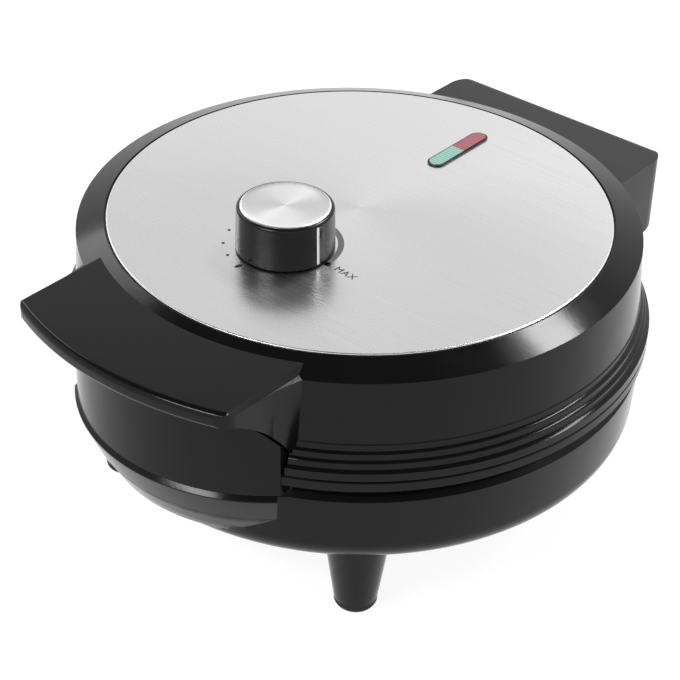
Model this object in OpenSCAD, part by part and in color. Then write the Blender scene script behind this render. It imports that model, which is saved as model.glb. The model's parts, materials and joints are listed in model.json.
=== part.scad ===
/* [Body] */
// Radius of the two flanges that meet at the seam
flange_r = 113; // [108:0.5:118]
// Height of the seam between lid and base above the table
seam_z = 72.75; // [70:0.25:76]
// Gap between the two flange faces when the lid is shut
seam_gap = 0.3; // [0.2:0.05:0.6]
// Height of each flange band
flange_h = 4.1; // [3:0.1:5]
// Wall thickness of the plastic housings
wall = 2.6; // [2:0.1:3.2]
// Height of the flat underside of the base
belly_z = 31; // [26:0.5:36]
// Radius of the rounded bottom edge of the base
belly_round = 12; // [8:0.5:14]
// Draft of the base's wall from its bottom edge to its sharp upper edge
belly_draft = 1.1; // [0.5:0.1:2]
// How far the sharp upper edge of the base lies inside the flange
ledge_inset = 1.7; // [1:0.1:3]
// Height of the sharp upper edge of the base
ledge_z = 62.5; // [60:0.5:63.5]
// Depth of the dark recess under the base flange
recess_depth = 4.5; // [3.5:0.1:6]

/* [Lid] */
// Height of the top of the steel disc
top_z = 114.4; // [112:0.2:118]
// Width of the black ring from the steel disc out to the lid's shoulder
ring_w = 11.3; // [9:0.1:14]
// Thickness of the steel disc
disc_t = 1.1; // [0.8:0.1:1.6]
// Gap between the steel disc and the lip around it
disc_gap = 0.5; // [0.3:0.1:1]
// How far the lid's shoulder lies inside the flange
shoulder_inset = 6; // [5:0.2:8]
// Drop of the top chamfer
shoulder_drop = 4.2; // [3:0.2:6]
// How far the foot of the lid's wall lies inside the flange
wall_inset = 4.6; // [3.5:0.1:5.5]
// Number of steps between the flange and the wall
wall_steps = 3; // [2:1:4]
// Height of the stepped foot of the wall
steps_h = 9; // [7:0.5:12]

/* [Front handle] */
// Reach of the handle beyond the flange
handle_reach = 23.6; // [18:0.2:28]
// Half width of the handle at its tip
handle_half = 50.5; // [46:0.5:54]
// Half width of the handle where it meets the lid
handle_root_half = 54; // [50:0.5:58]
// Radius of the handle's corners in plan
handle_corner = 7; // [3:0.5:10]
// Thickness of the top slab of the handle
handle_t = 6.5; // [5:0.5:9]
// Thickness of the two cheeks of the handle
cheek_t = 3; // [2:0.2:4]
// Radius of the arch that cuts the cheeks
arch_r = 69.8; // [66:0.2:74]
// Distance of the arch's centre in front of the flange
arch_reach = 44; // [41:0.5:47]
// Clearance between the arch and the upstand below it
arch_gap = 0.8; // [0.6:0.1:1.5]

/* [Front upstand] */
// Radius of the bulged upstand below the handle
upstand_r = 71.8; // [69:0.2:74]
// How far the upstand stands out in front of the flange
upstand_out = 9.8; // [8:0.2:11]
// Half width of the upstand
upstand_half = 51; // [46:0.5:53]
// Height of its lower edge
upstand_z = 67; // [65:0.5:68]

/* [Hinge] */
// Distance of the hinge axis behind the flange
hinge_back = 8; // [7.5:0.5:10]
// Height of the hinge axis
hinge_z = 82; // [80:0.5:84]
// Radius of the hinge pin
pin_r = 3; // [2.5:0.1:3.5]
// Radius of the hinge knuckles
knuckle_r = 7; // [6:0.2:7.5]
// Inner end of the base knuckles
knuckle_x = 22; // [20:0.5:26]
// Width of one base knuckle
knuckle_w = 10; // [8:0.5:12]
// Side clearance between knuckles
knuckle_gap = 0.4; // [0.3:0.05:0.8]
// Half width of the hinge cover
cover_half = 52.5; // [50:0.5:55]
// Radius of the vertical corners of the hinge cover
cover_corner = 11; // [6:0.5:13]
// Height of the top of the hinge cover
cover_top = 102; // [100:0.5:104]
// Clearance of the hinge cover's back wall from the knuckles
cover_room = 13; // [12:0.2:14]

/* [Cooking plates] */
// Radius of the cooking plates
plate_r = 94.5; // [90:0.5:96]
// Thickness of the cooking plates
plate_t = 7; // [6:0.5:8]
// Gap between the plates when the lid is shut
plate_gap = 2.6; // [2:0.1:3.5]
// Height of the pattern on the plates
relief_h = 0.8; // [0.4:0.1:1]
// Number of petals in the pattern
petals = 8; // [6:1:12]
// Radius of the heating loop
heater_ring = 62; // [55:1:70]
// Radius of the heating tube
heater_r = 3.3; // [3:0.1:4]
// Distance of the plate screws from the axis
post_ring = 50; // [46:0.5:52]
// Length of the plate posts
post_len = 8; // [6:0.5:10]

/* [Knob] */
// Distance of the knob in front of the body axis
knob_y = 39.5; // [38:0.5:44]
// Distance of the knob to the left of the body axis
knob_left = 2.5; // [0:0.5:4]
// Radius of the knob at its foot
knob_r = 18.3; // [17:0.1:21]
// Radius of the knob at its top
knob_top_r = 17.9; // [16:0.1:20]
// Height of the knob
knob_h = 17.5; // [16:0.5:24]
// Gap between the knob and the steel disc
knob_gap = 0.5; // [0.3:0.1:1]
// Direction of the pointer, from the front toward the right
pointer_angle = 82; // [0:1:90]
// Radius of the thermostat's shaft
shaft_r = 3; // [2.5:0.1:3.5]

/* [Indicator] */
// Distance of the indicator's centre behind the body axis
lens_y = 60.7; // [58:0.5:63]
// Length of the indicator
lens_len = 33; // [28:1:38]
// Width of the indicator
lens_w = 5.8; // [5:0.2:9]

/* [Feet] */
// Distance of the feet from the axis
foot_ring = 93; // [90:0.5:95]
// Angle of each foot from the front or the back
foot_angle = 40.7; // [36:0.5:46]
// Radius of a foot below the base
foot_r = 12; // [10:0.5:13]
// Radius of a foot at its pad
foot_tip_r = 8.2; // [7:0.2:9]
// Height of the rubber pads
pad_h = 4; // [3:0.5:6]

/* [Cord inlet] */
// Height of the inlet at the back
inlet_z = 46; // [44:0.5:48]
// Radius of the bore for the cord
inlet_r = 3.6; // [3:0.1:4]

/* [Hidden] */
$fn = 96;
eps = 0.01;
terminal_y = 68;
fuse_y = 40;
gland_len = 18;
big = 400;
fit = 0.05;

base_top = seam_z - seam_gap / 2;
lid_bottom = seam_z + seam_gap / 2;
base_flange_z = base_top - flange_h;
lid_flange_top = lid_bottom + flange_h;
disc_under = top_z - disc_t;
deck_under = disc_under - wall;
shoulder_r = flange_r - shoulder_inset;
disc_r = shoulder_r - ring_w;
lip_r = disc_r + disc_gap;
lid_wall_r = flange_r - wall_inset;
ledge_r = flange_r - ledge_inset;
belly_r = ledge_r - belly_draft;
recess_r = flange_r - recess_depth;
handle_r = flange_r + handle_reach;
hinge_y = flange_r + hinge_back;
upstand_y = flange_r + upstand_out - upstand_r;
upstand_front = upstand_r - 1.5;
lip_z = top_z - 0.2;
shoulder_z = top_z - shoulder_drop;
throat_r = plate_r + 2.5;
handle_top = top_z - 1.8;
handle_under = handle_top - handle_t;
arch_y = -flange_r - arch_reach;
arch_z = 45;
lower_face = seam_z - plate_gap / 2;
upper_face = seam_z + plate_gap / 2;
plate_stack = plate_t + post_len;
lower_post_z = lower_face - plate_stack;
upper_post_z = upper_face + plate_stack;
screw_r = 1.6;
screw_head_r = 3.4;
screw_head_h = 2;
boss_r = 6;
boss_foot_r = 7;
boss_bore = 4;
boss_floor = 2.5;
shield_t = 0.8;
lower_shield_z = lower_post_z - 8;
upper_shield_z = upper_post_z + 10;
knob_base = top_z + knob_gap;
knob_at = [-knob_left, -knob_y, 0];
inlet_wall = base_wall_at(inlet_z);
knob_top = knob_base + knob_h;
bush_r = 4.6;
nut_h = 2.4;
thermo_z = upper_face + plate_t + 5.3;
thermo_h = 10.5;
cover_back = hinge_y + cover_room + wall;

function arc(cx, cy, r, a, b, n) =
    [for (i = [0:n]) [cx + r * cos(a + (b - a) * i / n), cy + r * sin(a + (b - a) * i / n)]];

// Outline of the base bowl from the axis out and up to the flange
function base_outline() = concat(
    [[0, belly_z]],
    arc(belly_r - belly_round, belly_z + belly_round, belly_round, -90, -4, 12),
    [[ledge_r, ledge_z], [recess_r, ledge_z + 2.5], [recess_r, base_flange_z],
     [flange_r - 0.4, base_flange_z], [flange_r, base_flange_z + 0.4],
     [flange_r, base_top - 0.4], [flange_r - 0.4, base_top], [0, base_top]]);

// Inner outline of the base bowl
function base_hollow() = concat(
    [[0, belly_z + wall]],
    arc(belly_r - belly_round, belly_z + belly_round, belly_round - wall, -90, -4, 12),
    [[ledge_r - wall, ledge_z - 1.5], [recess_r - wall, ledge_z + 1],
     [recess_r - wall, base_top - wall], [throat_r, base_top - wall],
     [throat_r, base_top + 1], [0, base_top + 1]]);

// Outer radius of the base's wall at a height above its rounded edge
function base_wall_at(z) =
    belly_r + belly_draft * (z - belly_z - belly_round) / (ledge_z - belly_z - belly_round);

// Softened stair from the flange up to the wall of the lid
function wall_stair() = let (
    run = (wall_inset - 0.7) / wall_steps,
    rise = steps_h / wall_steps)
    [for (i = [0:wall_steps - 1], p = [[0.35, 0], [0.9, 0.12], [1, 0.3], [1.05, 0.85]])
        [flange_r - 0.7 - run * (i + p[0] - 0.35), lid_flange_top + rise * (i + p[1])]];

// Outer outline of the lid from the seam up to the lip around the disc
function lid_outline() = concat(
    [[0, lid_bottom], [flange_r - 0.4, lid_bottom], [flange_r, lid_bottom + 0.4],
     [flange_r, lid_flange_top - 0.5]],
    wall_stair(),
    [[lid_wall_r, lid_flange_top + steps_h], [shoulder_r, shoulder_z], [lip_r + 0.3, lip_z],
     [lip_r, lip_z - 0.1], [lip_r, disc_under], [0, disc_under]]);

// Inner outline of the lid
function lid_hollow() = [
    [0, lid_bottom - 1], [throat_r, lid_bottom - 1], [throat_r, lid_bottom + wall],
    [lid_wall_r - wall - 0.4, lid_bottom + wall], [lid_wall_r - wall, lid_flange_top + 9],
    [shoulder_r - wall, shoulder_z - 2], [lip_r - 1, deck_under], [0, deck_under]];

function handle_plan() = let (
    cx = handle_half - handle_corner,
    cr = handle_r - handle_corner,
    cy = -sqrt(cr * cr - cx * cx),
    a = atan2(cy, cx),
    right = concat([[handle_root_half, -88], [handle_half + 0.6, -104]],
        arc(cx, cy, handle_corner, 0, a, 8)),
    front = arc(0, 0, handle_r, a, -180 - a, 24),
    left = [for (i = [len(right) - 1:-1:0]) [-right[i][0], right[i][1]]])
    concat(right, front, left);

module at_posts() {
    for (a = [45:90:315])
        translate([post_ring * cos(a), post_ring * sin(a), 0])
            children();
}

module at_feet() {
    for (a = [-90 + foot_angle, -90 - foot_angle, 90 - foot_angle, 90 + foot_angle])
        translate([foot_ring * cos(a), foot_ring * sin(a), 0])
            children();
}

module along_x(x0, x1, y, z, r) {
    translate([x0, y, z])
        rotate([0, 90, 0])
            cylinder(h = x1 - x0, r = r);
}

module profile_x(x0, x1, points) {
    translate([x0, 0, 0])
        rotate([90, 0, 90])
            linear_extrude(x1 - x0)
                polygon(points);
}

module lid_solid() {
    rotate_extrude($fn = 180)
        polygon(lid_outline());
}

module base_solid() {
    rotate_extrude($fn = 180)
        polygon(base_outline());
}

module both_sides() {
    children();
    mirror([1, 0, 0])
        children();
}

// Screw with a pan head, its shank pointing up from the head
module screw(shank) {
    translate([0, 0, -screw_head_h])
        difference() {
            cylinder(h = screw_head_h, r = screw_head_r, $fn = 48);
            translate([0, 0, -eps])
                linear_extrude(1.1)
                    union() {
                        square([4, 0.9], center = true);
                        square([0.9, 4], center = true);
                    }
        }
    cylinder(h = shank, r = screw_r, $fn = 32);
}

// Traditional rosette of overlapping rings within two borders
module rosette() {
    for (i = [0:petals - 1])
        rotate([0, 0, 360 / petals * i])
            translate([plate_r * 0.42, 0, 0])
                difference() {
                    cylinder(h = relief_h, r = plate_r * 0.38, $fn = 64);
                    translate([0, 0, -1])
                        cylinder(h = relief_h + 2, r = plate_r * 0.38 - 1.2, $fn = 64);
                }
    for (r = [plate_r * 0.16, plate_r * 0.86, plate_r * 0.93])
        difference() {
            cylinder(h = relief_h, r = r);
            translate([0, 0, -1])
                cylinder(h = relief_h + 2, r = r - 1.4);
        }
}

// Cast plate with its face up at height zero
module cooking_plate() {
    difference() {
        union() {
            rotate_extrude($fn = 180)
                polygon([[0, -plate_t], [plate_r - 1.5, -plate_t], [plate_r, 1.5 - plate_t],
                    [plate_r, -0.8], [plate_r - 0.8, 0], [0, 0]]);
            translate([0, 0, -eps])
                rosette();
            rotate_extrude()
                translate([heater_ring - heater_r - 2.2, -plate_t - 4])
                    square([2 * heater_r + 4.4, 4 + eps]);
            at_posts()
                translate([0, 0, -plate_stack])
                    cylinder(h = post_len + eps, r = 5, $fn = 48);
        }
        rotate_extrude()
            translate([heater_ring, -plate_t - heater_r - 0.1])
                circle(r = heater_r + fit, $fn = 32);
        at_posts()
            translate([0, 0, -plate_stack - 1])
                cylinder(h = post_len + 3, r = screw_r + fit, $fn = 32);
    }
}

// Tubular heater of the plate above, with its two cold ends turned down
module heater() {
    span = 320;
    z = -plate_t - heater_r - 0.1;
    rotate([0, 0, 110])
        rotate_extrude(angle = span)
            translate([heater_ring, z])
                circle(r = heater_r, $fn = 32);
    for (a = [110, 110 + span])
        rotate([0, 0, a])
            translate([heater_ring, 0, z - 9])
                cylinder(h = 9, r = heater_r - 0.3, $fn = 32);
}

module shield() {
    difference() {
        cylinder(h = shield_t, r = plate_r - 6);
        at_posts()
            translate([0, 0, -1])
                cylinder(h = shield_t + 2, r = boss_r + 0.2, $fn = 48);
        for (a = [110, 430])
            rotate([0, 0, a])
                translate([heater_ring, 0, -1])
                    cylinder(h = shield_t + 2, r = heater_r + 1.5, $fn = 32);
    }
}

// Tubular boss that carries one plate post at its top
module plate_boss(foot_z, top, shoulder) {
    difference() {
        union() {
            translate([0, 0, foot_z])
                cylinder(h = shoulder - foot_z, r = boss_foot_r, $fn = 48);
            translate([0, 0, shoulder - eps])
                cylinder(h = top - shoulder + eps, r = boss_r, $fn = 48);
        }
        plate_boss_bore(foot_z, top);
    }
}

module plate_boss_bore(foot_z, top) {
    translate([0, 0, foot_z - 5])
        cylinder(h = top - boss_floor - foot_z + 5, r = boss_bore, $fn = 48);
    translate([0, 0, top - boss_floor - 1])
        cylinder(h = boss_floor + 2, r = screw_r + fit, $fn = 32);
}

module upstand_envelope() {
    translate([0, -upstand_y, 0])
        rotate_extrude()
            polygon([[0, belly_z + 2], [upstand_front - 15.8, belly_z + 2],
                [upstand_front - 8, belly_z + 9], [upstand_front - 2, belly_z + 20],
                [upstand_front, ledge_z], [upstand_front - 3.5, upstand_z], [0, upstand_z]]);
}

module upstand_hollow() {
    translate([0, -upstand_y, 0])
        rotate_extrude()
            polygon([[0, belly_z + 2 + wall], [upstand_front - 17, belly_z + 2 + wall],
                [upstand_front - 10, belly_z + 10], [upstand_front - 2 - wall, belly_z + 21],
                [upstand_front - wall, ledge_z - 1], [upstand_front - 3.5 - wall,
                upstand_z - wall], [0, upstand_z - wall]]);
}

// Bulged front wall that rises between the cheeks of the handle
module upstand() {
    intersection() {
        difference() {
            translate([0, -upstand_y, upstand_z - wall])
                cylinder(h = 60, r = upstand_r, $fn = 180);
            translate([0, -upstand_y, upstand_z])
                cylinder(h = 60, r = upstand_r - wall, $fn = 180);
            translate([0, 0, upstand_z - wall - 1])
                cylinder(h = 60, r = recess_r - 1);
        }
        along_x(-upstand_half, upstand_half, arch_y, arch_z, arch_r - arch_gap);
    }
}

module vents() {
    for (ring = [1:3], a = [-36:12:36], side = [0, 180])
        rotate([0, 0, a + side])
            translate([22 + 13 * ring, -1.3, belly_z - 1])
                cube([9, 2.6, wall + 2]);
}

module base_knuckle() {
    x1 = knuckle_x + knuckle_w;
    difference() {
        union() {
            along_x(knuckle_x, x1, hinge_y, hinge_z, knuckle_r);
            profile_x(knuckle_x, x1, [
                [hinge_y - 19, base_flange_z], [hinge_y - 15, base_flange_z],
                [hinge_y - 4.9, hinge_z - 5], [hinge_y, hinge_z],
                [hinge_y - 4.9, hinge_z + 4.9], [hinge_y - 19, hinge_z - 5]]);
        }
        along_x(knuckle_x - 1, x1 + 1, hinge_y, hinge_z, pin_r + 0.02);
    }
}

module lower_housing() {
    color("#141414")
        difference() {
            union() {
                difference() {
                    union() {
                        base_solid();
                        upstand_envelope();
                    }
                    rotate_extrude($fn = 180)
                        polygon(base_hollow());
                    upstand_hollow();
                    // Room for the hinge cover when the lid stands open
                    translate([-cover_half - 3, hinge_y - 13.5, base_flange_z])
                        cube([2 * cover_half + 6, 20, 10]);
                    vents();
                }
                upstand();
                both_sides()
                    base_knuckle();
                at_posts()
                    plate_boss(belly_z, lower_post_z, lower_shield_z);
                at_feet()
                    translate([0, 0, belly_z + 1])
                        cylinder(h = 11, r = 6, $fn = 48);
                // Socket for the gland and rail for the terminal block
                translate([0, inlet_wall - wall - 8, inlet_z])
                    rotate([-90, 0, 0])
                        cylinder(h = 8.2, r = inlet_r + 6, $fn = 64);
                translate([-12, terminal_y - 8, belly_z + wall - eps])
                    cube([24, 16, 3]);
            }
            at_posts()
                plate_boss_bore(belly_z, lower_post_z);
            at_feet()
                translate([0, 0, belly_z - 5])
                    cylinder(h = 15, r = 2.05, $fn = 32);
            translate([0, inlet_wall - 20, inlet_z])
                rotate([-90, 0, 0])
                    cylinder(h = 30, r = inlet_r + 3 + fit, $fn = 64);
        }
}

module feet() {
    flare = (foot_r - foot_tip_r) / (belly_z - pad_h);
    color("#161616")
        difference() {
            at_feet()
                translate([0, 0, pad_h])
                    cylinder(h = 34, r1 = foot_tip_r, r2 = foot_tip_r + 34 * flare, $fn = 64);
            base_solid();
            at_feet() {
                translate([0, 0, -1])
                    cylinder(h = 60, r = 2.1, $fn = 32);
                translate([0, 0, -1])
                    cylinder(h = pad_h + 11, r = 4.2, $fn = 48);
            }
        }
}

module foot_pads() {
    color("#242424")
        at_feet()
            rotate_extrude($fn = 64)
                polygon(concat([[0, 0], [foot_tip_r - 3.2, 0]],
                    arc(foot_tip_r - 3.2, 3.2, 3.2, -75, 0, 6),
                    [[foot_tip_r, pad_h], [4.1, pad_h], [4.1, pad_h + 3], [0, pad_h + 3]]));
}

module foot_screws() {
    color("silver")
        at_feet()
            translate([0, 0, pad_h + 10]) {
                cylinder(h = 24, r = 2, $fn = 32);
                translate([0, 0, -2.4])
                    cylinder(h = 2.4, r = 3.9, $fn = 48);
            }
}

module place_lower() {
    translate([0, 0, lower_face])
        children();
}

module place_upper() {
    translate([0, 0, upper_face])
        mirror([0, 0, 1])
            children();
}

module lower_plate() {
    color("#3a3a3c")
        place_lower()
            cooking_plate();
}

module upper_plate() {
    color("#3a3a3c")
        place_upper()
            cooking_plate();
}

module lower_heater() {
    color("gray")
        place_lower()
            heater();
}

module upper_heater() {
    color("gray")
        place_upper()
            heater();
}

module lower_heat_shield() {
    color("gainsboro")
        translate([0, 0, lower_shield_z])
            shield();
}

module upper_heat_shield() {
    color("gainsboro")
        translate([0, 0, upper_shield_z])
            mirror([0, 0, 1])
                difference() {
                    shield();
                    translate(knob_at - [0, 0, 1])
                        cylinder(h = shield_t + 2, r = bush_r + 1);
                }
}

module lower_plate_screws() {
    color("silver")
        at_posts()
            translate([0, 0, lower_post_z - boss_floor])
                screw(boss_floor + post_len - 1);
}

module upper_plate_screws() {
    color("silver")
        at_posts()
            translate([0, 0, upper_post_z + boss_floor])
                mirror([0, 0, 1])
                    screw(boss_floor + post_len - 1);
}

module terminal_block() {
    color("ivory")
        translate([0, terminal_y, belly_z + wall + 3])
            difference() {
                translate([-14, -6, 0])
                    cube([28, 12, 9]);
                for (x = [-9, 0, 9]) {
                    translate([x, -7, 3.2])
                        rotate([-90, 0, 0])
                            cylinder(h = 14, r = 1.5, $fn = 24);
                    translate([x, 0, 3])
                        cylinder(h = 7, r = 2.2, $fn = 24);
                }
            }
}

// Fuse in its sleeve on the back of the lower plate
module thermal_fuse() {
    color("lightgray")
        translate([-9, fuse_y, lower_face - plate_t - 2.2])
            rotate([0, 90, 0]) {
                cylinder(h = 18, r = 2.2, $fn = 32);
                translate([0, 0, -7])
                    cylinder(h = 32, r = 0.6, $fn = 16);
            }
}

module cord_gland() {
    color("#202020")
        difference() {
            union() {
                translate([0, inlet_wall - gland_len + 4, inlet_z])
                    rotate([-90, 0, 0])
                        cylinder(h = gland_len, r = inlet_r + 3, $fn = 64);
                difference() {
                    translate([0, inlet_wall - 2, inlet_z])
                        rotate([-90, 0, 0])
                            cylinder(h = 4.4, r = inlet_r + 5.4, $fn = 64);
                    base_solid();
                }
            }
            translate([0, inlet_wall - 20, inlet_z])
                rotate([-90, 0, 0])
                    cylinder(h = 30, r = inlet_r, $fn = 64);
        }
}

module hinge_pin() {
    color("silver")
        along_x(-cover_half + 5, cover_half - 5, hinge_y, hinge_z, pin_r);
}

// Push-on rings beside the outer knuckles of the lid
module pin_clips() {
    x = lid_outer_end + 0.2;
    color("silver")
        both_sides()
            difference() {
                along_x(x, x + 1.2, hinge_y, hinge_z, pin_r + 2.2);
                along_x(x - 1, x + 3, hinge_y, hinge_z, pin_r + 0.01);
            }
}

lid_outer_x = knuckle_x + knuckle_w + knuckle_gap;
lid_outer_end = lid_outer_x + 9;
lid_inner_x = knuckle_x - knuckle_gap - 9;
lid_inner_end = knuckle_x - knuckle_gap;
bush_wall = 1.4;

module lid_knuckle(x0, x1) {
    along_x(x0, x1, hinge_y, hinge_z, knuckle_r);
    profile_x(x0, x1, [
        [hinge_y - 16, hinge_z - 2], [hinge_y - 12, hinge_z - 3.5], [hinge_y - 3, hinge_z - 6],
        [hinge_y, hinge_z], [hinge_y - 3, hinge_z + 6.2], [hinge_y - 12, hinge_z + 9],
        [hinge_y - 16, hinge_z + 9]]);
}

// Plan of the slot that the indicator sits in
module lens_plan(length, width) {
    square([width, length - width], center = true);
    for (s = [-1, 1])
        translate([0, s * (length - width) / 2])
            circle(r = width / 2, $fn = 48);
}

module lens_hole(grow) {
    translate([0, lens_y, deck_under - 1])
        linear_extrude(10)
            lens_plan(lens_len + 2 * grow, lens_w + 2 * grow);
}

module upper_housing() {
    color("#121212")
        difference() {
            union() {
                difference() {
                    lid_solid();
                    rotate_extrude($fn = 180)
                        polygon(lid_hollow());
                }
                at_posts()
                    mirror([0, 0, 1])
                        plate_boss(-deck_under - eps, -upper_post_z, -upper_shield_z);
                difference() {
                    both_sides() {
                        lid_knuckle(lid_outer_x, lid_outer_end);
                        lid_knuckle(lid_inner_x, lid_inner_end);
                    }
                    along_x(-60, 60, hinge_y, hinge_z, pin_r + bush_wall + 0.01);
                }
            }
            at_posts()
                mirror([0, 0, 1])
                    plate_boss_bore(-deck_under, -upper_post_z);
            // The flange stops where the front upstand passes in front of it
            difference() {
                translate([-upstand_half - 0.8, -flange_r - 5, lid_bottom - 1])
                    cube([2 * upstand_half + 1.6, 30, lid_flange_top - lid_bottom + 6.5]);
                cylinder(h = 200, r = lid_wall_r + 0.8);
            }
            // Slots around the base knuckles
            both_sides()
                translate([knuckle_x - knuckle_gap, hinge_y - 20, lid_bottom - 1])
                    cube([knuckle_w + 2 * knuckle_gap, 30, hinge_z - lid_bottom + 11]);
            translate(knob_at + [0, 0, deck_under - 1])
                cylinder(h = 10, r = bush_r + fit);
            lens_hole(0.5 + fit);
            handle_screw_axes()
                translate([0, 0, lid_wall_r - 12.4])
                    cylinder(h = 20, r = screw_r + fit, $fn = 32);
            cover_screw_axes()
                cylinder(h = 20, r = screw_r + fit, $fn = 32);
        }
}

module steel_disc() {
    color("gainsboro")
        difference() {
            translate([0, 0, disc_under])
                rotate_extrude($fn = 180)
                    polygon([[0, 0], [disc_r, 0], [disc_r, disc_t - 0.35],
                        [disc_r - 0.35, disc_t], [0, disc_t]]);
            translate(knob_at)
                cylinder(h = 200, r = bush_r + fit);
            lens_hole(0.5 + fit);
        }
}

// Axes of the two screws that hold the handle, pointing out from the body's axis
module handle_screw_axes() {
    for (a = [-12, 12])
        rotate([0, 0, a])
            translate([0, 0, handle_under - 8])
                rotate([90, 0, 0])
                    children();
}

module cover_screw_axes() {
    for (x = [-5, 5])
        translate([x, lid_wall_r - 8, cover_top - 6])
            rotate([-90, 0, 0])
                children();
}

module handle_slab() {
    intersection() {
        translate([0, 0, handle_under])
            linear_extrude(handle_t)
                polygon(handle_plan());
        rotate_extrude($fn = 180)
            polygon(concat([[0, handle_under - 1]], [[handle_r - 2.5, handle_under - 1]],
                arc(handle_r - 2, handle_under + 2, 2, -90, 0, 5),
                arc(handle_r - 2.5, handle_top - 2.5, 2.5, 0, 90, 6), [[0, handle_top]]));
        translate([0, -80, 0])
            rotate([90, 0, 0])
                linear_extrude(70)
                    polygon([[-handle_root_half - 1, handle_under], [handle_root_half + 1,
                        handle_under], [handle_root_half + 1, handle_top - 3],
                        [handle_half + 0.4, handle_top - 1.8], [handle_half - 1.4, handle_top],
                        [1.4 - handle_half, handle_top], [-handle_half - 0.4, handle_top - 1.8],
                        [-handle_root_half - 1, handle_top - 3]]);
    }
}

module handle_cheeks() {
    intersection() {
        translate([0, 0, lid_flange_top + 0.4])
            difference() {
                linear_extrude(handle_under + 1 - lid_flange_top)
                    polygon(handle_plan());
                translate([-handle_half + cheek_t, -handle_r - 1, -1])
                    cube([2 * (handle_half - cheek_t), 80, 80]);
            }
        difference() {
            translate([-big / 2, -handle_r + 6, 0])
                cube([big, 70, handle_under + 1]);
            along_x(-big / 2, big / 2, arch_y, arch_z, arch_r);
        }
    }
}

module lid_handle() {
    color("#161616")
        difference() {
            union() {
                handle_slab();
                handle_cheeks();
                // Back wall of the handle against the lid
                intersection() {
                    rotate_extrude($fn = 180)
                        translate([lid_wall_r - 3, lid_flange_top + 12])
                            square([5.2, handle_under - lid_flange_top - 11.5]);
                    translate([-handle_half + 1, -big / 2, 0])
                        cube([2 * handle_half - 2, big / 2, big]);
                }
                handle_screw_axes()
                    translate([0, 0, lid_wall_r - 2])
                        cylinder(h = 10, r = 4.5, $fn = 48);
                for (a = [-12, 12])
                    rotate([0, 0, a])
                        translate([-1.25, -lid_wall_r - 8, handle_under - 4.5])
                            cube([2.5, 8, 5]);
            }
            lid_solid();
            handle_screw_axes()
                translate([0, 0, lid_wall_r - 18.4])
                    cylinder(h = 25, r = screw_r + fit, $fn = 32);
        }
}

module handle_screws() {
    color("silver")
        handle_screw_axes()
            translate([0, 0, shoulder_r - wall - 1.2])
                screw(11);
}

// Plan of the hinge cover with rounded rear corners
module cover_plan(half, back, corner) {
    translate([-half, 60])
        square([2 * half, back - corner - 60]);
    translate([-half + corner, 60])
        square([2 * (half - corner), back - 60]);
    for (s = [-1, 1])
        translate([s * (half - corner), back - corner])
            circle(r = corner, $fn = 64);
}

module hinge_cover() {
    color("#1a1a1a")
        difference() {
            union() {
                difference() {
                    intersection() {
                        linear_extrude(cover_top)
                            cover_plan(cover_half, cover_back, cover_corner);
                        profile_x(-big / 2, big / 2, concat(
                            [[cover_back, hinge_z - 10.5]],
                            arc(cover_back - 4, cover_top - 4, 4, 0, 90, 6),
                            [[60, cover_top], [60, lid_flange_top + 0.4],
                             [hinge_y - 17, lid_flange_top + 0.4], [hinge_y - 13, hinge_z - 15],
                             [hinge_y - 8, hinge_z - 16]]));
                    }
                    translate([0, 0, -1])
                        linear_extrude(cover_top - wall + 1)
                            cover_plan(cover_half - wall, cover_back - wall,
                                cover_corner - wall);
                }
                cover_screw_axes()
                    translate([0, 0, 6])
                        cylinder(h = 12, r = 4, $fn = 48);
                for (x = [-30, 30])
                    translate([x - 1, flange_r - 13, cover_top - wall - 4])
                        cube([2, cover_back - flange_r + 12, 4 + eps]);
            }
            lid_solid();
            cover_screw_axes()
                cylinder(h = 17, r = screw_r + fit, $fn = 32);
        }
}

module cover_screws() {
    color("silver")
        cover_screw_axes()
            translate([0, 0, 6.8 - wall])
                screw(11);
}

// Brass bushes pressed into the lid's knuckles
module hinge_bushes() {
    color("goldenrod")
        both_sides()
            for (x = [lid_inner_x, lid_outer_x])
                difference() {
                    along_x(x, x + 9, hinge_y, hinge_z, pin_r + bush_wall);
                    along_x(x - 1, x + 10, hinge_y, hinge_z, pin_r + fit);
                }
}

module thermostat() {
    color("lightgray")
        difference() {
            union() {
                translate(knob_at + [-13, -11, thermo_z])
                    cube([26, 22, thermo_h]);
                translate(knob_at + [0, 0, thermo_z + thermo_h - eps])
                    cylinder(h = top_z + 2.6 - thermo_z - thermo_h, r = bush_r, $fn = 64);
            }
            translate(knob_at + [0, 0, thermo_z + 4])
                cylinder(h = 60, r = shaft_r + fit, $fn = 64);
        }
}

// Strap that holds the thermostat against the back of the upper plate
module thermostat_bracket() {
    z = upper_face + plate_t;
    color("silver")
        translate(knob_at) {
            translate([-17, -6, z])
                cube([34, 12, 1.2]);
            both_sides()
                translate([13.4, -6, z + 1])
                    cube([1.2, 12, thermo_z + thermo_h - z - 1]);
            translate([-8, -6, z + 1])
                cube([16, 12, thermo_z - z - 1]);
        }
}

module thermostat_nut() {
    color("silver")
        translate(knob_at + [0, 0, top_z])
            difference() {
                cylinder(h = nut_h, r = 7, $fn = 6);
                translate([0, 0, -1])
                    cylinder(h = nut_h + 2, r = bush_r + 0.02, $fn = 64);
            }
}

module lens_frame() {
    color("#101010")
        translate([0, lens_y, deck_under])
            difference() {
                union() {
                    linear_extrude(top_z - deck_under)
                        lens_plan(lens_len + 1, lens_w + 1);
                    translate([0, 0, top_z - deck_under])
                        linear_extrude(0.5)
                            lens_plan(lens_len + 1.6, lens_w + 1.6);
                }
                translate([0, 0, -1])
                    linear_extrude(10)
                        lens_plan(lens_len + 2 * eps, lens_w + 2 * eps);
            }
}

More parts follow.
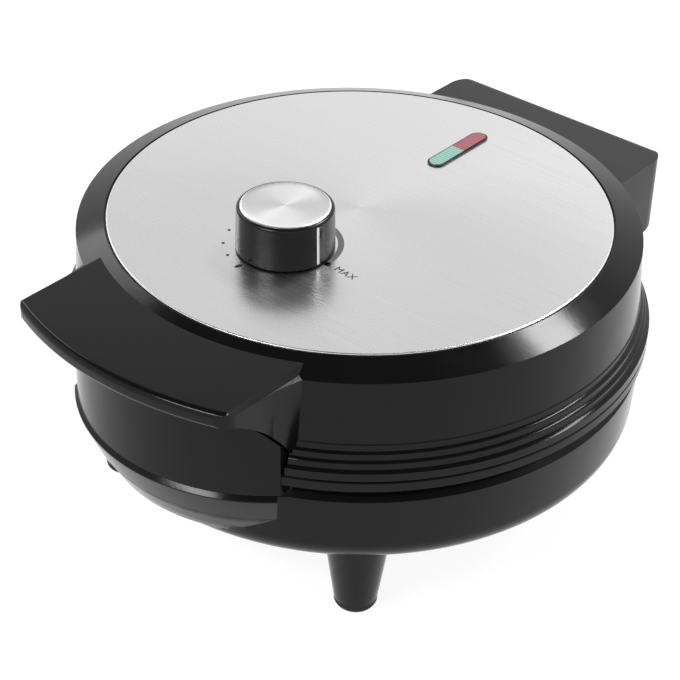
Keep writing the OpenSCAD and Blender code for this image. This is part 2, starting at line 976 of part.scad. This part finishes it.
module lens_half(side) {
    translate([0, lens_y, deck_under])
        intersection() {
            linear_extrude(top_z - deck_under + 0.9)
                lens_plan(lens_len, lens_w);
            translate([-10, side > 0 ? eps : -30 - eps, 0])
                cube([20, 30, 20]);
        }
}

module lens_green() {
    color("seagreen")
        lens_half(-1);
}

module lens_red() {
    color("firebrick")
        lens_half(1);
}

// Carrier under the deck with a pocket for each lamp
module lamp_holder() {
    color("ivory")
        translate([0, lens_y, deck_under - 7])
            difference() {
                translate([-7, -14, 0])
                    cube([14, 28, 7]);
                for (s = [-1, 1])
                    translate([0, s * 7, 1.2])
                        cylinder(h = 10, r = 4.2, $fn = 48);
            }
}

module neon_lamps() {
    color("orange")
        for (s = [-1, 1])
            translate([0, lens_y + s * 7, deck_under - 5.8]) {
                cylinder(h = 3, r = 2.6, $fn = 32);
                translate([0, 0, 3])
                    sphere(r = 2.5, $fn = 32);
            }
}

function knob_outline() = concat(
    [[0, 0], [knob_r - 0.3, 0], [knob_r, 0.4], [knob_top_r, knob_h - 1.6]],
    arc(knob_top_r - 1.1, knob_h - 1.5, 1.1, 0, 75, 5),
    [[cap_r + fit, knob_h - 0.3], [cap_r + fit, knob_h - cap_t], [0, knob_h - cap_t]]);

cap_r = knob_top_r - 1.3;
cap_t = 1;
knob_roof = knob_h - 4;

module pointer_bar(grow) {
    rotate([0, 0, pointer_angle - 90])
        translate([knob_top_r - 0.6, -0.5 - grow, 0.8])
            cube([2, 1 + 2 * grow, knob_h - 2.4]);
}

module knob() {
    color("#131313")
        translate(knob_at + [0, 0, knob_base])
            difference() {
                rotate_extrude()
                    polygon(knob_outline());
                difference() {
                    translate([0, 0, -1])
                        cylinder(h = knob_roof + 1, r = knob_top_r - 2.4);
                    translate([0, 0, nut_h + 0.6])
                        cylinder(h = knob_h, r = 5.8, $fn = 64);
                }
                translate([0, 0, -1])
                    cylinder(h = knob_roof + 2, r = shaft_r + 0.02, $fn = 64);
                pointer_bar(0.02);
            }
}

module knob_cap() {
    color("silver")
        translate(knob_at + [0, 0, knob_base + knob_h - cap_t])
            rotate_extrude()
                polygon([[0, 0], [cap_r, 0], [cap_r, cap_t - 0.3], [cap_r - 0.5, cap_t],
                    [cap_r - 1.2, cap_t - 0.25], [0, cap_t - 0.45]]);
}

module knob_pointer() {
    color("white")
        translate(knob_at + [0, 0, knob_base])
            intersection() {
                pointer_bar(0);
                cylinder(h = knob_h, r1 = knob_r + 0.05, r2 = knob_top_r + 0.05);
            }
}

module thermostat_shaft() {
    color("silver")
        translate(knob_at + [0, 0, thermo_z + 4.3])
            cylinder(h = knob_base + knob_roof + 0.8 - thermo_z - 4.3, r = shaft_r, $fn = 64);
}

lower_housing();
feet();
foot_pads();
foot_screws();
lower_plate();
lower_heater();
lower_heat_shield();
lower_plate_screws();
terminal_block();
thermal_fuse();
cord_gland();
hinge_pin();
pin_clips();
upper_housing();
steel_disc();
lid_handle();
handle_screws();
hinge_cover();
cover_screws();
hinge_bushes();
upper_plate();
upper_heater();
upper_heat_shield();
upper_plate_screws();
thermostat();
thermostat_bracket();
thermostat_nut();
lens_frame();
lens_green();
lens_red();
lamp_holder();
neon_lamps();
knob();
knob_cap();
knob_pointer();
thermostat_shaft();
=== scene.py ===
import json
from math import atan, cos, pi, radians, sin

import bmesh
import bpy
from mathutils import Matrix, Vector


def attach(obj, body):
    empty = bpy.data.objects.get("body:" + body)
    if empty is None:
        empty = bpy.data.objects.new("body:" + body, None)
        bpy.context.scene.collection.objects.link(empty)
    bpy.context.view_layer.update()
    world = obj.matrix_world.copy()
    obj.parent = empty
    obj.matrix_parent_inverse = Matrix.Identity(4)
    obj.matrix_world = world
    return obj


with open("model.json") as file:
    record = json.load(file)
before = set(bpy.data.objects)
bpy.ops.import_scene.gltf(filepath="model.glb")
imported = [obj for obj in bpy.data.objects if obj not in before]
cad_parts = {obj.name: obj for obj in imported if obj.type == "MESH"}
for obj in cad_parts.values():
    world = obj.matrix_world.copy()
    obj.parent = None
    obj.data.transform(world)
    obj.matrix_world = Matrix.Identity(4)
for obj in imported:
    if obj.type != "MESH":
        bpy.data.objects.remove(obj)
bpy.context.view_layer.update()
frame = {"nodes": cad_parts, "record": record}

NODES = frame["nodes"]

# Camera, solved from the disc's ellipse and the handle's corners. Lengths here and below are in
# metres; the picture is PICTURE pixels square and the sensor SENSOR millimetres wide.
PICTURE = 680
AZIMUTH = radians(39.1)
ELEVATION = radians(33.3)
ROLL = radians(1.7)
DISTANCE = 0.7195
FOCAL_PX = 1846.5
AIM = Vector((0, 0, 0.078))
AIM_PX = (356.1, 287.8)
SENSOR = 36
NEAREST = 0.01

# Softboxes: name, place, target, size across and along, power in watts
LAMPS = (
    ("back_high", (0.08, 0.71, 1.04), (0.08, 0, 0.11), (0.34, 0.2), 7),
    ("left_strip", (-1.1, 0.2, 0.92), (0, -0.05, 0.11), (0.3, 0.6), 1.8),
    ("right_strip", (0.74, 0.66, 0.98), (0.05, -0.03, 0.11), (0.5, 0.1), 4),
    ("front_high", (-0.11, -1.03, 0.98), (0.02, -0.12, 0.064), (0.6, 0.15), 6),
)

# Sky: white up to the first height of a direction, dark from the second
SKY_WHITE_TO = 0.42
SKY_DARK_FROM = 0.86
SKY_TOP = 0.08

# Floor: half its width, the share of its white that takes shadows, the lightest of that share
# over the darkest, and the share that glows
FLOOR_REACH = 4.0
FLOOR_SHADE = 0.22
FLOOR_MOTTLE = 1.02
FLOOR_GLOW = 0.9

# Width of the softened edge of each node whose edges catch the light
SOFT_EDGES = {
    "upper_housing": 0.0004,
    "lower_housing": 0.0004,
    "lid_handle": 0.0006,
    "hinge_cover": 0.0008,
    "steel_disc": 0.0002,
    "knob_cap": 0.0001,
    "feet": 0.0004,
}
RIM_EDGE = 0.0003

# Edges sharper than EDGE_ANGLE are softened, in EDGE_STEPS steps, once the points of neighbouring
# faces that lie within WELD_WITHIN are one
WELD_WITHIN = 0.000001
EDGE_ANGLE = radians(28)
EDGE_STEPS = 2

# Place of the knob's axis
KNOB_X, KNOB_Y = -0.0025, -0.0395

# Markings printed on the disc, from the height PRINT_Z and PRINT_T thick
PRINT_Z = 0.1144
PRINT_T = 0.00004
DOT_SIDES = 24
STEP_DOTS = ((-0.0256, -0.0449), (-0.021, -0.053), (-0.0141, -0.0579))
STEP_DOT_R = 0.00062
END_DOT = (0.0168, -0.0382)
END_DOT_R = 0.0014
START_MARK = (-0.0062, -0.0606)
START_MARK_R = 0.0008
START_MARK_STRETCH = 2.1
START_MARK_TURN = radians(75)
BAND_CENTRE = (-0.0039, -0.0372)
BAND_R = 0.0211
BAND_WIDTH = 0.0023
BAND_TIP = 0.00002
BAND_TAPER = 0.4
BAND_FROM = radians(-14)
BAND_SWEEP = radians(122)
BAND_STEPS = 40
WORD = "MAX"
WORD_AT = (0.0205, -0.0395)
WORD_SIZE = 0.0043
WORD_SPACING = 1.1
WORD_STEPS = 3
WORD_TURN = radians(-4)

# Rim where the front bulge of the base meets the round body's sharp edge: the bulge's centre,
# half its sweep, and the section as radius about that centre and height
BULGE_CENTRE_Y = -0.051
BULGE_HALF = radians(44.5)
BULGE_STEPS = 64
RIM_SECTION = ((0.0700, 0.0650), (0.0703, 0.0650), (0.0729, 0.0624), (0.0728, 0.0618),
               (0.0682, 0.0508), (0.0672, 0.0512))


def make_camera():
    """Camera whose image of AIM falls on AIM_PX, with no shift."""
    level = cos(ELEVATION)
    back = Vector((sin(AZIMUTH) * level, -cos(AZIMUTH) * level, sin(ELEVATION)))
    place = AIM + back * DISTANCE
    right = Vector((cos(AZIMUTH), sin(AZIMUTH), 0))
    up = back.cross(right)
    x = (AIM_PX[0] - PICTURE / 2) / FOCAL_PX
    y = -(AIM_PX[1] - PICTURE / 2) / FOCAL_PX
    pan = atan(x)
    tilt = atan(y * cos(pan))
    ahead = -back * cos(pan) - right * sin(pan)
    right = right * cos(pan) - back * sin(pan)
    ahead, up = ahead * cos(tilt) - up * sin(tilt), up * cos(tilt) + ahead * sin(tilt)
    right, up = right * cos(ROLL) + up * sin(ROLL), up * cos(ROLL) - right * sin(ROLL)
    data = bpy.data.cameras.new("camera")
    data.sensor_width = SENSOR
    data.lens = SENSOR * FOCAL_PX / PICTURE
    data.clip_start = NEAREST
    camera = bpy.data.objects.new("camera", data)
    turn = Matrix((right, up, -ahead)).transposed().to_4x4()
    camera.matrix_world = Matrix.Translation(place) @ turn
    bpy.context.collection.objects.link(camera)
    bpy.context.scene.camera = camera


def softbox(name, place, target, size, power):
    """Rectangular area lamp at place, facing target."""
    data = bpy.data.lights.new(name, "AREA")
    data.shape = "RECTANGLE"
    data.size, data.size_y = size
    data.energy = power
    lamp = bpy.data.objects.new(name, data)
    direction = Vector(target) - Vector(place)
    lamp.rotation_euler = direction.to_track_quat("-Z", "Y").to_euler()
    lamp.location = place
    bpy.context.collection.objects.link(lamp)


class Nodes:
    """Small helper that builds one node material."""

    def __init__(self, name):
        self.material = bpy.data.materials.new(name)
        self.material.use_nodes = True
        self.tree = self.material.node_tree
        self.shader = self.tree.nodes["Principled BSDF"]

    def add(self, kind, **inputs):
        """Node of a kind, with its inputs or settings by name."""
        node = self.tree.nodes.new(kind)
        for key, value in inputs.items():
            if key in node.inputs:
                node.inputs[key].default_value = value
            else:
                setattr(node, key, value)
        return node

    def link(self, source, target):
        self.tree.links.new(source, target)

    def set(self, **values):
        """Constants on the shader's own sockets, with _ for a space."""
        for key, value in values.items():
            self.shader.inputs[key.replace("_", " ")].default_value = value

    def coordinates(self, scale=(1, 1, 1), location=(0, 0, 0)):
        """Place on the object itself, scaled and shifted."""
        place = self.add("ShaderNodeTexCoord")
        mapping = self.add("ShaderNodeMapping")
        mapping.inputs["Scale"].default_value = scale
        mapping.inputs["Location"].default_value = location
        self.link(place.outputs["Object"], mapping.inputs["Vector"])
        return mapping.outputs["Vector"]

    def noise(self, vector, scale, detail=3, roughness=0.5):
        node = self.add("ShaderNodeTexNoise", Scale=scale, Detail=detail, Roughness=roughness)
        self.link(vector, node.inputs["Vector"])
        return node.outputs["Fac"]

    def ramp(self, fac, low, high, start=0.0, end=1.0):
        """Value from low to high as fac goes from start to end."""
        node = self.add("ShaderNodeMapRange")
        node.inputs["From Min"].default_value = start
        node.inputs["From Max"].default_value = end
        node.inputs["To Min"].default_value = low
        node.inputs["To Max"].default_value = high
        self.link(fac, node.inputs["Value"])
        return node.outputs["Result"]

    def mix(self, fac, dark, light):
        node = self.add("ShaderNodeMix", data_type="RGBA")
        node.inputs["A"].default_value = (*dark, 1)
        node.inputs["B"].default_value = (*light, 1)
        self.link(fac, node.inputs["Factor"])
        return node.outputs["Result"]

    def bump(self, height, strength, distance):
        node = self.add("ShaderNodeBump", Strength=strength, Distance=distance)
        self.link(height, node.inputs["Height"])
        self.link(node.outputs["Normal"], self.shader.inputs["Normal"])

    def colour(self, socket):
        self.link(socket, self.shader.inputs["Base Color"])

    def rough(self, socket):
        self.link(socket, self.shader.inputs["Roughness"])


def moulded(name, dark, light, rough_low, rough_high, grain_scale, grain, specular=0.5):
    """Moulded plastic: faint mottling, uneven gloss and a fine grain."""
    n = Nodes(name)
    n.set(Specular_IOR_Level=specular)
    place = n.coordinates()
    cloud = n.noise(place, scale=18, detail=4)
    gloss = n.noise(place, scale=60, detail=5)
    n.colour(n.mix(cloud, dark, light))
    n.rough(n.ramp(gloss, rough_low, rough_high, start=0.3, end=0.7))
    n.bump(n.noise(place, grain_scale, detail=2), strength=grain, distance=0.0004)
    return n.material


def brushed(name, dark, light, rough_low, rough_high):
    """Sheet steel brushed along X, in fine lines over broader streaks."""
    n = Nodes(name)
    n.set(Metallic=1, Anisotropic=0.3)
    fine = n.noise(n.coordinates(scale=(14, 1500, 1)), scale=1, detail=4, roughness=0.7)
    broad = n.noise(n.coordinates(scale=(4, 160, 1)), scale=1, detail=2)
    n.colour(n.mix(fine, dark, light))
    both = n.add("ShaderNodeMath", operation="ADD")
    n.link(fine, both.inputs[0])
    n.link(broad, both.inputs[1])
    n.rough(n.ramp(both.outputs["Value"], rough_low, rough_high, start=0.6, end=1.4))
    n.bump(fine, strength=0.02, distance=0.00005)
    return n.material


def spun(name, dark, light, rough_low, rough_high):
    """Aluminium turned on a lathe about the knob's axis, with its radial sheen."""
    n = Nodes(name)
    n.set(Metallic=1, Anisotropic=0.6)
    tangent = n.add("ShaderNodeTangent", direction_type="RADIAL", axis="Z")
    n.link(tangent.outputs["Tangent"], n.shader.inputs["Tangent"])
    rings = n.add("ShaderNodeTexWave", wave_type="RINGS", rings_direction="Z",
                  Scale=420, Distortion=0.6)
    n.link(n.coordinates(location=(-KNOB_X, -KNOB_Y, 0)), rings.inputs["Vector"])
    n.colour(n.mix(rings.outputs["Fac"], dark, light))
    n.rough(n.ramp(rings.outputs["Fac"], rough_low, rough_high))
    return n.material


def plated(name, dark, light, rough_low, rough_high, metallic=1.0):
    """Plated or cast metal with a mottled surface."""
    n = Nodes(name)
    n.set(Metallic=metallic)
    place = n.coordinates()
    cloud = n.noise(place, scale=70, detail=4)
    gloss = n.noise(place, scale=220, detail=4)
    n.colour(n.mix(cloud, dark, light))
    n.rough(n.ramp(gloss, rough_low, rough_high, start=0.3, end=0.7))
    n.bump(n.noise(place, scale=900, detail=2), strength=0.2, distance=0.0001)
    return n.material


def lens(name, dark, light):
    """Ribbed, slightly see-through lens of an indicator."""
    n = Nodes(name)
    n.set(Roughness=0.16, Transmission_Weight=0.1, IOR=1.49, Coat_Weight=0.5)
    ribs = n.add("ShaderNodeTexWave", wave_type="BANDS", bands_direction="Y", Scale=230)
    n.link(n.coordinates(), ribs.inputs["Vector"])
    n.colour(n.mix(ribs.outputs["Fac"], dark, light))
    n.bump(ribs.outputs["Fac"], strength=0.2, distance=0.0002)
    return n.material


# Looks of the slots and prints: the function that makes them, with darkest and lightest colour,
# lowest and highest roughness, and what else it takes
LOOKS = (
    (moulded, {
        "black_gloss": ((0.003, 0.003, 0.0032), (0.0055, 0.0055, 0.006), 0.11, 0.17, 700, 0.02, 0.2),
        "black_satin": ((0.01, 0.01, 0.0105), (0.017, 0.017, 0.018), 0.3, 0.38, 1600, 0.12, 0.32),
        "knob_black": ((0.004, 0.004, 0.0045), (0.008, 0.008, 0.0085), 0.2, 0.26, 1200, 0.05, 0.25),
        "black_rubber": ((0.012, 0.012, 0.012), (0.022, 0.022, 0.022), 0.6, 0.8, 1400, 0.4, 0.3),
        "white_paint": ((0.8, 0.8, 0.8), (0.88, 0.88, 0.88), 0.3, 0.4, 900, 0.05),
        "ivory_plastic": ((0.6, 0.57, 0.46), (0.72, 0.69, 0.58), 0.4, 0.55, 900, 0.15),
        "fuse_sleeve": ((0.6, 0.6, 0.56), (0.8, 0.8, 0.76), 0.6, 0.8, 1500, 0.5),
        "print_ink": ((0.012, 0.012, 0.012), (0.02, 0.02, 0.02), 0.4, 0.5, 1500, 0.1, 0.4),
        "print_grey": ((0.13, 0.13, 0.13), (0.17, 0.17, 0.17), 0.4, 0.5, 1500, 0.1, 0.4),
    }),
    (brushed, {
        "brushed_disc": ((0.76, 0.76, 0.765), (0.83, 0.83, 0.835), 0.24, 0.31),
    }),
    (spun, {
        "spun_cap": ((0.84, 0.84, 0.84), (0.9, 0.9, 0.9), 0.27, 0.33),
    }),
    (plated, {
        "cast_plate": ((0.02, 0.02, 0.021), (0.04, 0.04, 0.042), 0.36, 0.5, 0.3),
        "heater_steel": ((0.2, 0.18, 0.16), (0.34, 0.32, 0.3), 0.4, 0.6),
        "shield_alu": ((0.6, 0.6, 0.61), (0.75, 0.75, 0.76), 0.3, 0.45),
        "zinc": ((0.5, 0.5, 0.51), (0.68, 0.68, 0.69), 0.25, 0.4),
        "thermostat_steel": ((0.42, 0.42, 0.43), (0.58, 0.58, 0.59), 0.3, 0.45),
        "brass_bush": ((0.5, 0.33, 0.1), (0.68, 0.48, 0.18), 0.25, 0.4),
    }),
    (lens, {
        "lens_green": ((0.13, 0.36, 0.28), (0.34, 0.6, 0.52)),
        "lens_red": ((0.24, 0.03, 0.05), (0.42, 0.09, 0.13)),
        "lamp_glass": ((0.8, 0.5, 0.35), (0.95, 0.7, 0.5)),
    }),
)


def soften(piece, width):
    """Rounds the sharp edges of a piece by width and shades it evenly across its faces."""
    weld = piece.modifiers.new("one skin", "WELD")
    weld.merge_threshold = WELD_WITHIN
    edge = piece.modifiers.new("soft edge", "BEVEL")
    edge.width = width
    edge.segments = EDGE_STEPS
    edge.limit_method = "ANGLE"
    edge.angle_limit = EDGE_ANGLE
    shade = piece.modifiers.new("even shade", "WEIGHTED_NORMAL")
    shade.mode = "FACE_AREA"
    shade.weight = 50


def dress_cad(materials):
    """Gives every CAD node the material of its slot and softens the edges seen from outside."""
    for part in frame["record"]["subparts"]:
        piece = NODES[part["node"]]
        for slot in piece.material_slots:
            slot.material = materials[part["material_slot"]]
    for node, width in SOFT_EDGES.items():
        soften(NODES[node], width)


def flat_piece(name, rings, material):
    """Thin print on the disc, one prism for each closed ring of points."""
    mesh = bpy.data.meshes.new(name)
    bm = bmesh.new()
    for ring in rings:
        face = bm.faces.new([bm.verts.new((x, y, PRINT_Z)) for x, y in ring])
        face.normal_update()
        if face.normal.z < 0:
            face.normal_flip()
        top = bmesh.ops.extrude_face_region(bm, geom=[face])
        lifted = [v for v in top["geom"] if isinstance(v, bmesh.types.BMVert)]
        bmesh.ops.translate(bm, verts=lifted, vec=(0, 0, PRINT_T))
    bm.to_mesh(mesh)
    bm.free()
    piece = bpy.data.objects.new(name, mesh)
    bpy.context.collection.objects.link(piece)
    mesh.materials.append(material)
    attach(piece, "lid")


def dot(at, radius, stretch=1.0, turn=0.0):
    """Outline of a dot, or of an ellipse longer by stretch along turn."""
    points = []
    for i in range(DOT_SIDES):
        a = 2 * pi * i / DOT_SIDES
        x, y = radius * stretch * cos(a), radius * sin(a)
        points.append((at[0] + x * cos(turn) - y * sin(turn), at[1] + x * sin(turn) + y * cos(turn)))
    return points


def crescent():
    """Outline of the band beside the knob, tapering to both ends."""
    outer, inner = [], []
    for i in range(BAND_STEPS + 1):
        u = i / BAND_STEPS
        a = BAND_FROM + BAND_SWEEP * u
        width = BAND_WIDTH * max(sin(pi * u), 0) ** BAND_TAPER + BAND_TIP
        for outline, r in ((outer, BAND_R), (inner, BAND_R - width)):
            outline.append((BAND_CENTRE[0] + r * cos(a), BAND_CENTRE[1] + r * sin(a)))
    return outer + inner[::-1]


def make_markings(materials):
    """Dial printed round the knob: dots, start mark, band and word."""
    ink, grey = materials["print_ink"], materials["print_grey"]
    dots = [dot(at, STEP_DOT_R) for at in STEP_DOTS] + [dot(END_DOT, END_DOT_R)]
    start = dot(START_MARK, START_MARK_R, START_MARK_STRETCH, START_MARK_TURN)
    flat_piece("dial_dots", dots, ink)
    flat_piece("dial_start", [start], ink)
    flat_piece("dial_band", [crescent()], grey)
    letters = bpy.data.curves.new("dial_word", "FONT")
    letters.body = WORD
    letters.size = WORD_SIZE
    letters.space_character = WORD_SPACING
    letters.extrude = PRINT_T / 2
    letters.resolution_u = WORD_STEPS
    word = bpy.data.objects.new("dial_word", letters)
    word.location = (*WORD_AT, PRINT_Z + PRINT_T / 2)
    word.rotation_euler = (0, 0, WORD_TURN)
    bpy.context.collection.objects.link(word)
    letters.materials.append(ink)
    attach(word, "lid")


def lit_path(tree):
    """1 for the rays that see the backdrop: camera, mirror and see-through."""
    path = tree.nodes.new("ShaderNodeLightPath")
    total = path.outputs["Is Camera Ray"]
    for name in ("Is Glossy Ray", "Is Transmission Ray"):
        either = tree.nodes.new("ShaderNodeMath")
        either.operation = "MAXIMUM"
        tree.links.new(total, either.inputs[0])
        tree.links.new(path.outputs[name], either.inputs[1])
        total = either.outputs[0]
    return total


def make_stage():
    """White floor that keeps a faint shadow."""
    mesh = bpy.data.meshes.new("floor")
    sides = ((-1, -1), (1, -1), (1, 1), (-1, 1))
    corners = [(x * FLOOR_REACH, y * FLOOR_REACH, 0) for x, y in sides]
    mesh.from_pydata(corners, [], [(0, 1, 2, 3)])
    floor = bpy.data.objects.new("floor", mesh)
    bpy.context.collection.objects.link(floor)
    n = Nodes("floor_paper")
    n.set(Roughness=0.9, Specular_IOR_Level=0.0, Emission_Color=(1, 1, 1, 1))
    cloud = n.noise(n.coordinates(), scale=3, detail=2)
    n.colour(n.mix(cloud, (FLOOR_SHADE,) * 3, (FLOOR_SHADE * FLOOR_MOTTLE,) * 3))
    n.link(n.ramp(lit_path(n.tree), 0, FLOOR_GLOW), n.shader.inputs["Emission Strength"])
    mesh.materials.append(n.material)


def make_world():
    """White round the horizon and dark overhead, so that tops show a soft fall-off."""
    world = bpy.data.worlds.new("studio")
    bpy.context.scene.world = world
    world.use_nodes = True
    tree = world.node_tree
    back = tree.nodes["Background"]
    place = tree.nodes.new("ShaderNodeTexCoord")
    parts = tree.nodes.new("ShaderNodeSeparateXYZ")
    tree.links.new(place.outputs["Generated"], parts.inputs["Vector"])
    fall = tree.nodes.new("ShaderNodeMapRange")
    fall.interpolation_type = "SMOOTHSTEP"
    fall.inputs["From Min"].default_value = SKY_WHITE_TO
    fall.inputs["From Max"].default_value = SKY_DARK_FROM
    fall.inputs["To Min"].default_value = 1.0
    fall.inputs["To Max"].default_value = SKY_TOP
    tree.links.new(parts.outputs["Z"], fall.inputs["Value"])
    tree.links.new(fall.outputs["Result"], back.inputs["Strength"])
    back.inputs["Color"].default_value = (1, 1, 1, 1)


def make_front_rim(materials):
    """Bevelled rim under the upstand, on from the sharp edge of the round base."""
    mesh = bpy.data.meshes.new("front_rim")
    bm = bmesh.new()
    rows = []
    for i in range(BULGE_STEPS + 1):
        a = -pi / 2 + BULGE_HALF * (2 * i / BULGE_STEPS - 1)
        points = [(r * cos(a), BULGE_CENTRE_Y + r * sin(a), z) for r, z in RIM_SECTION]
        rows.append([bm.verts.new(point) for point in points])
    count = len(RIM_SECTION)
    for near, far in zip(rows, rows[1:]):
        for k in range(count):
            after = (k + 1) % count
            bm.faces.new((near[k], far[k], far[after], near[after])).smooth = True
    bm.faces.new(rows[0])
    bm.faces.new(rows[-1][::-1])
    bmesh.ops.recalc_face_normals(bm, faces=bm.faces)
    bm.to_mesh(mesh)
    bm.free()
    rim = bpy.data.objects.new("front_rim", mesh)
    bpy.context.collection.objects.link(rim)
    mesh.materials.append(materials["black_gloss"])
    soften(rim, RIM_EDGE)
    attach(rim, "base")


bpy.context.scene.view_settings.view_transform = "Standard"
make_camera()
make_stage()
make_world()
for lamp in LAMPS:
    softbox(*lamp)
materials = {name: make(name, *look) for make, looks in LOOKS for name, look in looks.items()}
dress_cad(materials)
make_markings(materials)
make_front_rim(materials)
